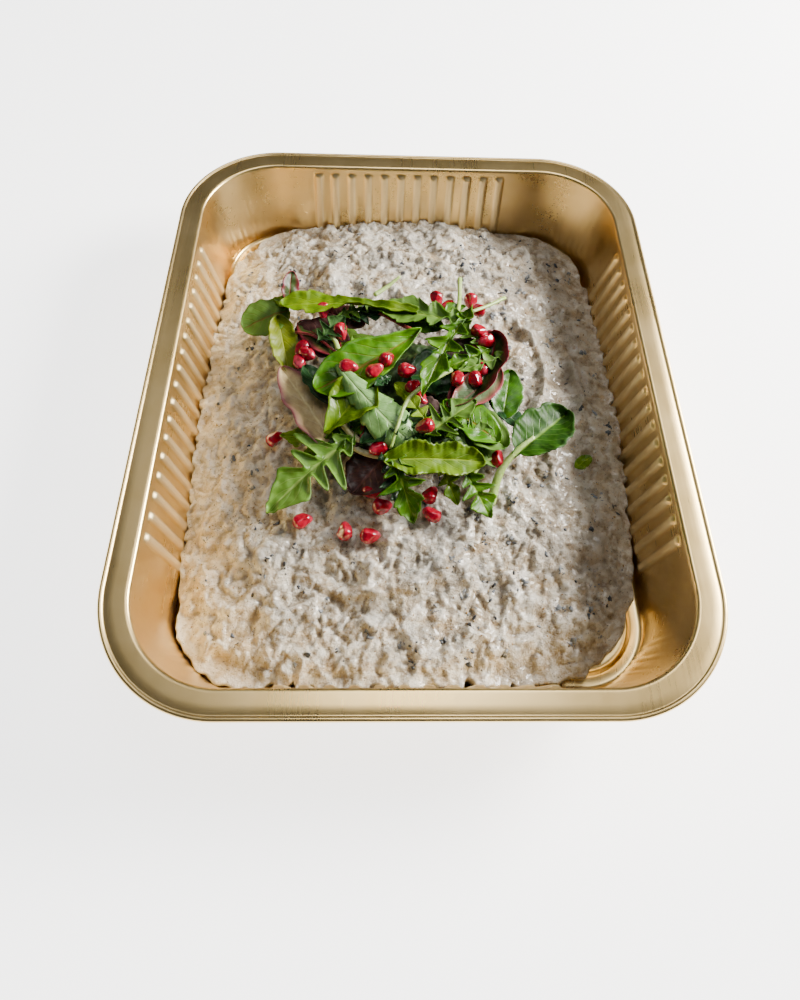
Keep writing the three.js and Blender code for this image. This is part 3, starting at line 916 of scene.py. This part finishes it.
def add_leaf(bm, outline, base, tip, half, arch=4, bend=0, roll=0, twist=0, cup=0.15, ruffle=0.05,
             waves=3, seed=0):
    """One leaf from base to tip. half is its half width, arch and bend bow its midrib, all in mm."""
    start, end = in_heap(base), in_heap(tip)
    length = (end - start).length
    ahead = (end - start).normalized()
    side = ahead.cross(UP).normalized()
    middle = (start + end) / 2 + UP * arch * MM + side * bend * MM
    uv_layer = bm.loops.layers.uv.verify()
    made = bmesh.ops.create_grid(bm, x_segments=LEAF_CELLS[0], y_segments=LEAF_CELLS[1], size=1.0)["verts"]
    spread = {}
    for vert in made:
        u, v = vert.co.x, 0.5 + 0.5 * vert.co.y
        uneven = 1 + 0.22 * noise.noise(Vector((v * 5, math.copysign(3, u), seed)))
        uneven += ruffle * 0.5 * noise.noise(Vector((v * 26, math.copysign(3, u), seed)))
        width = half * MM * OUTLINES[outline](v) * uneven
        x = u * width
        t = min(1.0, v + FORWARD_SWEEP.get(outline, 0.0) * abs(x) / length * (1 - v))
        tangent = (bow(start, middle, end, min(1.0, t + 0.02)) - bow(start, middle, end, t - 0.02)).normalized()
        across = tangent.cross(UP).normalized()
        across = Matrix.Rotation(math.radians(roll + twist * (v - 0.5)), 3, tangent) @ across
        normal = across.cross(tangent)
        wave = noise.noise(Vector((v * waves, math.copysign(1.5, u), seed))) * 1.6
        wave += 0.6 * noise.noise(Vector((v * waves * 2.7, math.copysign(4.5, u), seed)))
        rise = cup * half * MM * u * u + ruffle * half * MM * abs(u) ** 2 * wave
        pucker = 0.8 * MM * noise.noise(Vector((x / (5 * MM), v * length / (5 * MM), seed)))
        groove = 0.35 * MM * math.exp(-((x / (0.7 * MM)) ** 2))
        spread[vert] = (u, v)
        spot = bow(start, middle, end, t) + across * x + normal * (rise + pucker - groove)
        vert.co = lift_off_dip(spot)
    for face in {f for v in made for f in v.link_faces}:
        for loop in face.loops:
            u, v = spread[loop.vert]
            loop[uv_layer].uv = (0.5 + 0.5 * u, v)


# %% [markdown]
# Veins belong to the leaf and not to space, so they are drawn in the leaf's own map: the
# midrib down its middle, and side veins that slant from it towards the margin. The back of
# a leaf is paler and duller than its face, so it has a finish of its own.

# %% Leaf finishes
def leaf_finish(name, light, dark, vein, edge=None, vein_count=7, rough=0.27, vein_show=0.6):
    leaf = Finish(name)
    across = (leaf.uv(0) - 0.5).absolute() * 2
    along = leaf.uv(1)
    mottle = leaf.noise(5 * MM, detail=4, rough=0.65)
    broad = leaf.noise(16 * MM, detail=2)
    slant = (along - 0.30 * across) * vein_count
    from_vein = slant.math("PINGPONG", slant + 0.15 * mottle, 0.5) * 2
    side_veins = (1 - from_vein.over(0.03, 0.16)) * (1 - across * 0.75)
    midrib = 1 - across.over(0.025, 0.085)
    veins = midrib.math("MAXIMUM", midrib, side_veins * 0.55)
    colour = leaf.mix((0.6 * mottle + 0.4 * broad).over(0.36, 0.64), dark, light)
    if edge:
        margin = (across + 0.35 * (broad - 0.5)).over(0.55, 0.92)
        colour = leaf.mix(margin, colour, edge)
    colour = leaf.mix(veins * vein_show, colour, vein)
    relief = leaf.bump(1 - 0.8 * veins + 0.5 * mottle, 0.45 * MM, 0.7)
    return leaf.set(
        Base_Color=colour, Roughness=rough + 0.12 * mottle, Normal=relief, Specular_IOR_Level=0.28,
    )


def finish_pair(name, light, dark, vein, pale, **style):
    """The face and the back of a leaf."""
    back_dark = tuple(0.75 * c for c in pale)
    front = leaf_finish(name, light, dark, vein, **style)
    back = leaf_finish(name + "_back", pale, back_dark, vein, rough=0.55, vein_show=0.5)
    return front, back


def leaf_piece(name, bm, finishes):
    piece = add_piece(name, bm, finishes[0])
    piece.data.materials.append(finishes[1])
    blade = piece.modifiers.new("blade", "SOLIDIFY")
    blade.thickness = 0.35 * MM
    blade.offset = -1
    blade.material_offset = 1
    return piece


PALE_BACK = (0.085, 0.16, 0.02)
GREENS = {
    "rocket": finish_pair("rocket", (0.075, 0.19, 0.0), (0.018, 0.07, 0.0), (0.27, 0.42, 0.04), (0.08, 0.17, 0.015)),
    "rocket_pale": finish_pair("rocket_pale", (0.14, 0.27, 0.04), (0.07, 0.16, 0.012), (0.34, 0.46, 0.12), PALE_BACK),
    "spinach": finish_pair("spinach", (0.085, 0.235, 0.0), (0.025, 0.10, 0.0), (0.20, 0.07, 0.01), (0.10, 0.20, 0.02)),
    "plain": finish_pair("plain_leaf", (0.045, 0.15, 0.0), (0.012, 0.055, 0.0), (0.11, 0.24, 0.01), (0.08, 0.17, 0.01)),
    "lime": finish_pair("lime_lettuce", (0.155, 0.25, 0.0), (0.06, 0.135, 0.0), (0.27, 0.38, 0.02), (0.16, 0.26, 0.0)),
    "lime_deep": finish_pair(
        "deep_lettuce", (0.12, 0.205, 0.0), (0.05, 0.11, 0.0), (0.26, 0.36, 0.02), (0.13, 0.22, 0.0), rough=0.34),
    "olive": finish_pair("young_lettuce", (0.17, 0.20, 0.0), (0.09, 0.13, 0.0), (0.28, 0.32, 0.02), (0.15, 0.22, 0.0),
                         rough=0.38),
    "silver": finish_pair("silver_back", (0.25, 0.44, 0.15), (0.075, 0.19, 0.03), (0.35, 0.50, 0.20), (0.04, 0.12, 0.0)),
    "teal": finish_pair("dark_rocket", (0.016, 0.07, 0.016), (0.003, 0.014, 0.002), (0.07, 0.16, 0.04), (0.03, 0.09, 0.01)),
    "purple": finish_pair(
        "red_lettuce", (0.62, 0.49, 0.24), (0.40, 0.28, 0.14), (0.70, 0.60, 0.30), (0.22, 0.18, 0.06),
        edge=(0.17, 0.055, 0.06)),
    "plum": finish_pair(
        "plum_lettuce", (0.085, 0.030, 0.024), (0.018, 0.005, 0.006), (0.16, 0.06, 0.05), (0.06, 0.03, 0.025)),
    "chard": finish_pair(
        "chard", (0.045, 0.075, 0.015), (0.010, 0.022, 0.003), (0.20, 0.008, 0.02), (0.10, 0.15, 0.05),
        edge=(0.15, 0.012, 0.022)),
    "grey_chard": finish_pair(
        "grey_chard", (0.20, 0.29, 0.14), (0.07, 0.11, 0.045), (0.30, 0.12, 0.10), (0.10, 0.16, 0.05),
        edge=(0.26, 0.05, 0.055)),
    "pak_choi": finish_pair(
        "pak_choi", (0.026, 0.095, 0.0), (0.007, 0.035, 0.0), (0.20, 0.36, 0.05), (0.15, 0.27, 0.05),
        vein_count=8, vein_show=0.55, rough=0.42),
}
print("leaf finishes:", ", ".join(GREENS))

# %% [markdown]
# The leaves are laid as in the real heap, from the ones that rest on the dip up to the long
# rocket leaves on top. Each line is one leaf: its outline, where it starts and ends, and
# its half width, in millimetres, and then how it is bowed and rolled.

# %% Lay the leaves
LEAVES = {
    "plum": (
        ("oval", (-6, -34, 34), (-24, -54, 30), 13, dict(arch=3, roll=8)),
        ("oval", (8, -12, 46), (18, -18, 46), 5, dict(arch=1)),
        ("oval", (20, 16, 40), (44, 24, 40), 10, dict(arch=3, roll=15)),
        ("oval", (-28, 24, 38), (-56, 38, 38), 11, dict(arch=3, roll=-12)),
        ("oval", (-20, 40, 39), (-44, 50, 38), 7, dict(arch=3, roll=-8)),
        ("oval", (-16, -22, 40), (-30, -34, 37), 6, dict(arch=2, roll=10)),
    ),
    "purple": (
        ("oval", (-31, -35, 37), (-62, 13, 36), 11, dict(arch=4, roll=6, cup=0.2)),
    ),
    "teal": (
        ("rocket_small", (-28, 41, 42), (-9, 45, 44), 7, dict(arch=2, ruffle=0.2)),
        ("rocket_small", (-44, 24, 44), (-30, 40, 46), 9, dict(arch=1)),
        ("oval", (-33, -12, 41), (-50, 12, 40), 8, dict(arch=2, roll=20)),
        ("rocket_small", (0, -22, 46), (12, -40, 43), 8, dict(arch=2, roll=-10)),
        ("rocket_small", (4, -18, 47), (-20, -34, 42), 10, dict(arch=4, roll=12)),
        ("oval", (4, 6, 42), (30, 8, 42), 14, dict(arch=2)),
        ("oval", (-24, -14, 38), (-28, -34, 36), 10, dict(arch=2)),
        ("oval", (22, -8, 38), (8, -30, 38), 13, dict(arch=2)),
        ("rocket_small", (-6, -2, 53), (-14, -8, 54), 3.5, dict(arch=0.5, seed=4)),
        ("oval", (44, -4, 37), (62, -22, 35), 6, dict(arch=2, roll=-15)),
        ("rocket_long", (-10, -36, 41), (2, -66, 33), 9, dict(arch=5, roll=-10, seed=5)),
    ),
    "plain": (
                ("oval", (50, -16, 37), (56, 12, 38), 8.5, dict(arch=2, roll=4, cup=0.2)),
        ("oval", (50, -34, 40), (24, -14, 43), 10.5, dict(arch=3, cup=0.2)),
        ("oval", (36, 6, 38), (14, 20, 40), 11, dict(arch=3)),
        ("oval", (-44, 34, 36), (-20, 22, 40), 10, dict(arch=3)),
        ("oval", (-8, 14, 42), (-26, 30, 42), 8, dict(arch=2, roll=10)),
        ("oval", (-30, -32, 36), (-46, -20, 35), 8, dict(arch=2, roll=12)),
        ("oval", (30, -20, 40), (44, -42, 35), 7, dict(arch=3, roll=-12)),
        ("oval", (-2, 44, 41), (22, 36, 43), 7, dict(arch=2, roll=8)),
    ),
    "lime": (
        ("rocket_small", (-52, 50, 40), (-70, 58, 38), 6, dict(arch=2, ruffle=0.15)),
        ("ribbon", (8, 42, 48), (-65, 50, 42), 9.5, dict(arch=4, bend=5, roll=10, cup=0.2, ruffle=0.16, waves=5, seed=5)),
        ("blunt", (-36, -28, 41), (-16, -4, 47), 12, dict(arch=6, roll=-6, cup=0.4, ruffle=0.08, seed=2)),
        ("rocket_small", (14, -28, 46), (0, -8, 49), 6, dict(arch=2)),
        ("rocket_small", (-30, -32, 38), (-60, -24, 32), 8, dict(arch=3, ruffle=0.2)),
        ("rocket_small", (-28, -36, 37), (-52, -36, 32), 6, dict(arch=2, ruffle=0.2, seed=9)),
        ("rocket_small", (18, -42, 38), (26, -60, 31), 6, dict(arch=2, ruffle=0.3)),
        ("oval", (8, -14, 44), (-4, -2, 47), 5, dict(arch=2, roll=10)),
    ),
    "lime_deep": (
        ("strap", (-9, -44, 46), (38, -42, 41), 7.8, dict(arch=4, roll=18, cup=0.3, ruffle=0.2, waves=9, seed=8)),
    ),
    "chard": (
        ("oval", (-61, 54, 39), (-60, 70, 47), 5, dict(arch=2, roll=25)),
        ("oval", (49, 30, 44), (24, -16, 42), 12, dict(arch=4, bend=-9, roll=24, cup=0.45)),
        ("oval", (-33, 20, 40), (-55, 42, 38), 8, dict(arch=3)),
    ),
    "grey_chard": (
        ("oval", (48, 10, 44), (24, -14, 45), 9, dict(arch=3, bend=-4, roll=-6, cup=0.25, seed=3)),
    ),
    "spinach": (
        ("round", (-61, 51, 37), (-85, 40, 34), 12, dict(arch=3, roll=0, cup=0.12)),
        ("blunt", (9, 28, 50), (-43, -6, 46), 13.5, dict(arch=5, bend=-5, roll=-4, cup=0.28, seed=4)),
        ("oval", (46, -32, 42), (20, -12, 45), 9.5, dict(arch=3, roll=6, cup=0.2, seed=6)),
    ),
    "olive": (
        ("pointed", (-66, 44, 39), (-58, 11, 33), 10.5, dict(arch=4, roll=-10, cup=0.25, seed=2)),
    ),
    "silver": (
        ("fan", (-33, 5, 53), (4, -36, 46), 16, dict(arch=4, bend=3, roll=8, cup=-0.15, ruffle=0.08, waves=4, seed=3)),
    ),
    "rocket": (
        ("rocket_wide", (36, 36, 47), (-18, 46, 44), 13, dict(arch=5, roll=10, cup=0.2, seed=6)),
        ("rocket_long", (37, 46, 47), (9, -14, 54), 11.5, dict(arch=5, bend=3, roll=8, cup=0.25, ruffle=0.10, seed=7)),
        ("rocket", (10, -32, 46), (36, -12, 47), 12, dict(arch=3, roll=-6, seed=9)),
        ("rocket_long", (-6, -38, 46), (5, -70, 33), 12, dict(arch=5, roll=8, twist=20, ruffle=0.1, seed=10)),
        ("rocket_small", (42, 22, 45), (26, 40, 47), 8, dict(arch=2)),
        ("rocket_small", (30, -46, 37), (41, -66, 30), 10, dict(arch=4, ruffle=0.2, seed=12)),
        ("rocket_small", (46, 20, 46), (20, 6, 47), 7, dict(arch=3, ruffle=0.3, seed=13)),
        ("rocket_small", (12, 40, 45), (34, 50, 44), 7, dict(arch=2, seed=14)),
        ("rocket_small", (-34, 42, 43), (-14, 50, 43), 7, dict(arch=2, ruffle=0.15, seed=15)),
        ("rocket_long", (20, -30, 43), (44, -26, 42), 9, dict(arch=3, roll=6, seed=16)),
        ("rocket_small", (-18, -22, 43), (-38, -38, 37), 7, dict(arch=2, seed=17)),
    ),
    "rocket_pale": (
        ("rocket", (-23, -29, 41), (-63, -65, 31), 19, dict(arch=4, bend=2, cup=0.12, ruffle=0.05, seed=11)),
        ("rocket_small", (54, 15, 48), (27, 4, 49), 6, dict(arch=3, ruffle=0.3, waves=5)),
    ),
    "pak_choi": (
        ("spoon", (54, -37, 36), (82, -13, 37), 12.5, dict(arch=5, roll=-2, cup=0.3, ruffle=0.1, seed=1)),
    ),
}


def lay_leaves(name, finishes):
    bm = bmesh.new()
    for outline, base, tip, half, style in LEAVES[name]:
        add_leaf(bm, outline, base, tip, half, **style)
    bmesh.ops.recalc_face_normals(bm, faces=bm.faces[:])
    upside = [f for f in bm.faces if f.normal.z < 0]
    if len(upside) * 2 > len(bm.faces):
        bmesh.ops.reverse_faces(bm, faces=bm.faces[:])
    return leaf_piece(f"{name}_leaves", bm, finishes)


for kind, finishes in GREENS.items():
    lay_leaves(kind, finishes)

# %% [markdown]
# ## Stems
# Several stalks show bare: the thick pale stalk of the pak choi leaf, and thin ones of rocket
# and chard. A stalk is a round section carried along a curve. The section is a small circle
# whose edge is extruded from place to place, so that it can taper and swell on its way.

# %% Stalks
def smooth_path(points, steps=7):
    """Points on a rounded curve through a few places."""
    padded = [points[0] * 2 - points[1], *points, points[-1] * 2 - points[-2]]
    path = []
    for a, b, c, d in zip(padded, padded[1:], padded[2:], padded[3:]):
        for k in range(steps):
            t = k / steps
            path.append(0.5 * (
                2 * b + (c - a) * t + (2 * a - 5 * b + 4 * c - d) * t ** 2 + (3 * b - a - 3 * c + d) * t ** 3
            ))
    return [*path, points[-1]]


def add_stalk(bm, places, radii, sides=10, flat=0.8):
    path = [lift_off_dip(spot, 0.8 * MM) for spot in smooth_path([in_heap(p) for p in places])]
    ring = None
    for index, spot in enumerate(path):
        before, after = path[max(0, index - 1)], path[min(len(path) - 1, index + 1)]
        share = index / (len(path) - 1)
        radius = (radii[0] + (radii[1] - radii[0]) * share) * MM
        facing = (after - before).to_track_quat("Z", "Y").to_matrix().to_4x4()
        place = Matrix.Translation(spot) @ facing
        if ring is None:
            verts = bmesh.ops.create_circle(bm, segments=sides, radius=1.0)["verts"]
            ring = [e for e in {e for v in verts for e in v.link_edges}]
            local = {v: v.co.copy() for v in verts}
            bmesh.ops.contextual_create(bm, geom=ring)
        else:
            ring, copied = next_ring(bm, ring)
            local = {vert: local[before_vert] for vert, before_vert in copied.items()}
        for vert, co in local.items():
            vert.co = place @ Vector((co.x * radius, co.y * radius * flat, 0))
    bmesh.ops.contextual_create(bm, geom=ring)


def stalk_finish(name, colour, streak):
    stalk = Finish(name)
    lines = stalk.noise(1.4 * MM, detail=3)
    broad = stalk.noise(9 * MM)
    mixed = stalk.mix((0.5 * lines + 0.5 * broad).over(0.38, 0.62), colour, streak)
    return stalk.set(
        Base_Color=mixed, Roughness=0.32, Normal=stalk.bump(lines, 0.2 * MM), Subsurface_Weight=0.25,
        Subsurface_Radius=(0.003, 0.003, 0.001), Subsurface_Scale=1.0,
    )


STALKS = {
    "pale_stalks": (((0.27, 0.42, 0.07), (0.48, 0.60, 0.22)), (
        (((64, -28, 40.5), (55, -35, 39), (47, -44, 34), (42, -58, 27)), (0.9, 2.5)),
        (((29, 41, 47), (31, 55, 45), (32, 70, 44)), (1.1, 1.3)),
        (((37, 45, 46), (47, 52, 43), (57, 61, 39)), (0.9, 1.1)),
        (((-15, 57, 44), (-8, 63, 44), (-1, 69, 46)), (1.5, 0.8)),
        (((24, 4, 51), (12, -5, 52), (2, -15, 52), (-3, -29, 50), (-6, -39, 47)), (1.3, 0.7)),
        (((-38, 30, 45), (-35, 26, 44), (-33, 21, 43)), (1.0, 1.4)),
        (((47, -36, 36), (39, -40, 36), (32, -48, 34)), (0.7, 0.9)),
        (((-25, -29, 39), (-20, -25, 41)), (0.9, 1.1)),
    )),
    "beige_stalks": (((0.33, 0.30, 0.13), (0.48, 0.45, 0.25)), (
        (((-25, -33, 39), (-18, -37, 39), (-8, -39, 39)), (1.4, 1.9)),
        (((-32, -19, 43), (-26, -27, 42), (-20, -32, 40)), (2.0, 1.3)),
    )),
    "red_stalks": (((0.20, 0.02, 0.03), (0.32, 0.07, 0.05)), (
        (((-12, 43, 46), (-1, 35, 47), (8, 27, 50)), (1.0, 1.2)),
        (((-19, -17, 45), (-20, -32, 41)), (0.9, 1.0)),
        (((-34, 20, 42), (-46, 30, 42), (-56, 34, 40)), (0.7, 0.9)),
    )),
}
for name, (colours, routes) in STALKS.items():
    bm = bmesh.new()
    for places, radii in routes:
        add_stalk(bm, places, radii)
    bmesh.ops.recalc_face_normals(bm, faces=bm.faces[:])
    add_piece(name, bm, stalk_finish(name, *colours))

# %% [markdown]
# More pomegranate seeds are caught among the leaves. They are smaller to the eye because
# leaves hide part of them, but they are the same seeds, tipped at random.

# %% Seeds in the heap
HEAP_SEEDS = (
    (-52, 24, 39), (-53, 16, 38), (-49, 20, 40), (-42, 46, 43), (-32, 31, 45), (-27, 4, 52), (-8, 9, 52), (-14, 2, 52),
    (2, 3, 51), (5, -5, 49), (27, 0, 49), (36, 1, 48), (40, 30, 48), (43, 25, 47), (40, 8, 47), (38, 58, 39),
    (42, 53, 38), (19, 58, 40), (25, 52, 41), (10, -29, 51), (-12, -36, 42), (46, -37, 35), (8, -10, 46),
)


def seeds_in_heap():
    rng = random.Random(5)
    bm, along = new_seed_mesh()
    for spot in HEAP_SEEDS:
        turn = Matrix.Rotation(rng.uniform(0, 2 * math.pi), 4, "Z") @ Matrix.Rotation(rng.uniform(-0.5, 0.5), 4, "Y")
        seed_shape(bm, along, Matrix.Translation(in_heap(spot)) @ turn, rng)
    return add_piece("heap_pomegranate", bm, ruby_finish)


seeds_in_heap()

# %% [markdown]
# Under the leaves that show lie more leaves, crushed together. They only show between the
# others, so they are one small mound with deep folds, which carries the rest. Its near-black
# green is painted shade, the shade deep between the leaves above.

# %% The heap's core
def build_core():
    bm = bmesh.new()
    bmesh.ops.create_grid(bm, x_segments=70, y_segments=60, size=1.0)
    for vert in bm.verts:
        u, v = vert.co.x, vert.co.y
        x, y = u * math.sqrt(1 - v * v / 2), v * math.sqrt(1 - u * u / 2)
        out = min(1.0, math.hypot(x, y))
        spot = HEAP_MIDDLE + Vector((x * 46 * MM, y * 38 * MM, 0))
        fold = 5 * MM * abs(noise.noise(spot / (11 * MM))) + 3 * MM * noise.noise(spot / (5 * MM))
        rise = (1 - out ** 2) ** 0.5
        ground = on_dip(spot.x, spot.y)[0].z
        spot.z = ground - 0.6 * MM + rise * (9 * MM + fold)
        vert.co = spot
    rim = [e for e in bm.edges if e.is_boundary]
    bmesh.ops.recalc_face_normals(bm, faces=bm.faces[:])
    ring, copied = next_ring(bm, rim)
    for vert in copied:
        vert.co.z -= 1.5 * MM
    bmesh.ops.contextual_create(bm, geom=ring)
    bmesh.ops.recalc_face_normals(bm, faces=bm.faces[:])
    return bm


# Painted shade: the core is near-black green for the shade deep in the heap.
core = add_piece("salad_core", build_core(), fleck_finish("core_leaves_painted_shade", (0.010, 0.028, 0.008), (0.05, 0.11, 0.02), 6 * MM, 0.5))
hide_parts("salad_heap")

# %% [markdown]
# One torn bit of yellow-green leaf has dropped on the dip at the right, away from the heap.

# %% The stray leaf bit
bm = bmesh.new()
add_leaf(bm, "round", (89, -32, 10), (98, -26, 10), 3.2, arch=0.5, ruffle=0.3, seed=3)
leaf_piece("stray_leaf_bit", bm, GREENS["lime"])
